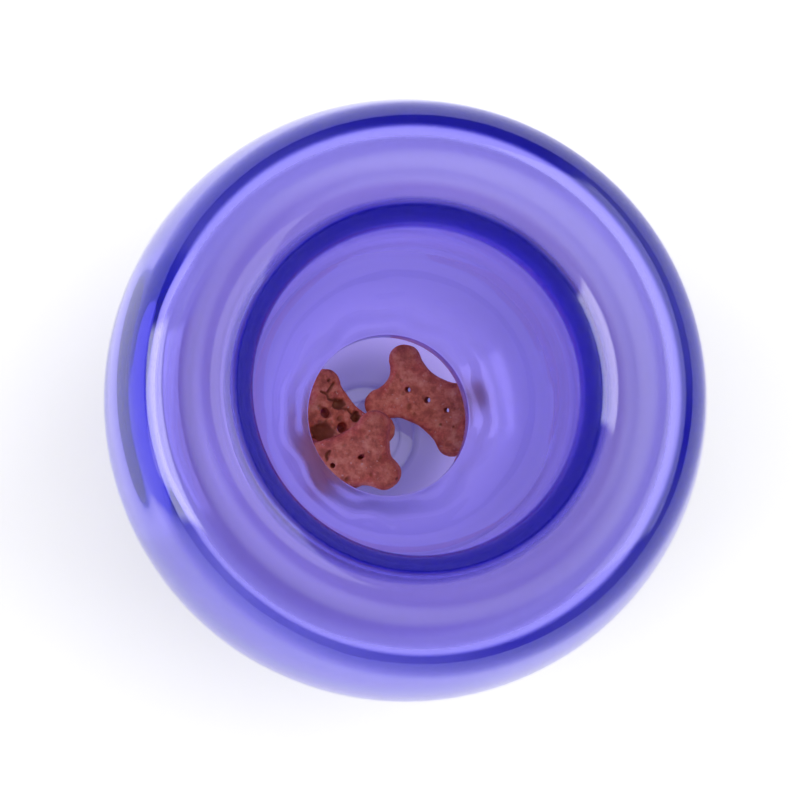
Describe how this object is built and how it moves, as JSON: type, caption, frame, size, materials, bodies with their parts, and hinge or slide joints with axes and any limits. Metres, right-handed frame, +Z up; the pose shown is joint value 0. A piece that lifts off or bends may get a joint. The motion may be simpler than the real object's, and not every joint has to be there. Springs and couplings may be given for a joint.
{
  "type": "treat dispensing dog toy",
  "caption": "Soft clear ball with a flat foot and a fat rolled rim, a deep crater that holds a treat hole, and bone biscuits loose in the cavity below.",
  "frame": {"origin": "centre of the foot's flat base", "axes": "+Z up along the ball's axis, out of the crater; +X to the right and +Y to the top of the picture"},
  "size_m": [0.1016, 0.1016, 0.0729],
  "materials": {
    "shell_rubber": "clear violet-blue, glossy, as moulded",
    "bowl_rubber": "clear violet-blue, glossy, as moulded",
    "biscuit": "dry baked dough, dull, with pin holes"
  },
  "bodies": {
    "ball": {"ball_shell": "shell_rubber", "crater_bowl": "bowl_rubber"},
    "right_biscuit": {"treat_right": "biscuit"},
    "left_biscuit": {"treat_left": "biscuit"},
    "top_biscuit": {"treat_top": "biscuit"}
  },
  "joints": [
    {"name": "treat_top_lift", "type": "slide", "parent": "ball", "child": "top_biscuit", "axis": [0.3744, 0.2925, 0.8799], "range_m": [0, 0.075]},
    {"name": "treat_right_swing", "type": "hinge", "parent": "ball", "child": "right_biscuit", "pos_m": [0.01785, -0.0176, 0.05213], "axis": [0.9048, -0.4258, 0], "range_deg": [0, 76]},
    {"name": "treat_left_shift", "type": "hinge", "parent": "ball", "child": "left_biscuit", "pos_m": [0, 0, 0.04981], "axis": [-0.4287, -0.7426, -0.5145], "range_deg": [0, 5]}
  ]
}
